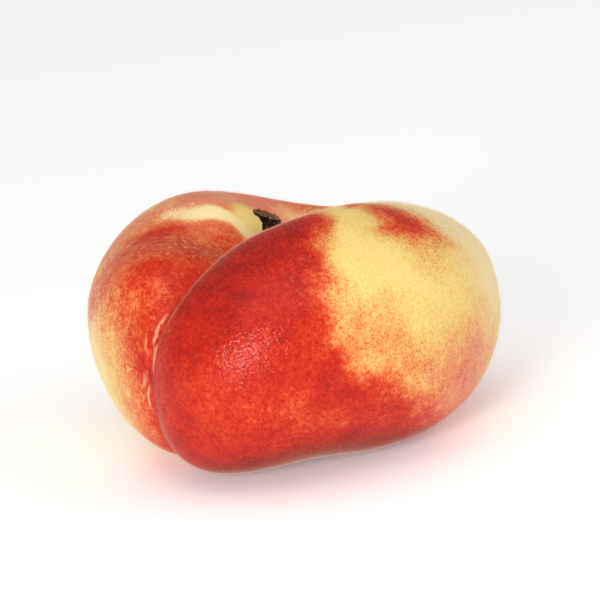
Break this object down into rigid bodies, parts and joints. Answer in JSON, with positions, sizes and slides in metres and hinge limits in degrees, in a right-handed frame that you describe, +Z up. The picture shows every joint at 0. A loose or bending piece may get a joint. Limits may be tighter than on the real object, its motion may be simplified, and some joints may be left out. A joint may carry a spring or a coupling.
{
  "type": "flat peach",
  "caption": "Ripe flat peach with a red and yellow downy skin, a deep suture and a short woody stalk in its hollow; display fruit that rests on its base.",
  "frame": {"origin": "middle of the fruit's box, at the height of the flat that it rests on", "axes": "+Z up from the base to the stalk; the suture, the long groove, faces -Y; +X to the right, seen from the suture"},
  "size_m": [0.078, 0.0762, 0.0446],
  "materials": {
    "skin": "downy, matt with a faint sheen",
    "stalk_wood": "dry and rough"
  },
  "bodies": {
    "root": {"fruit": "skin", "stalk": "stalk_wood"}
  },
  "joints": []
}
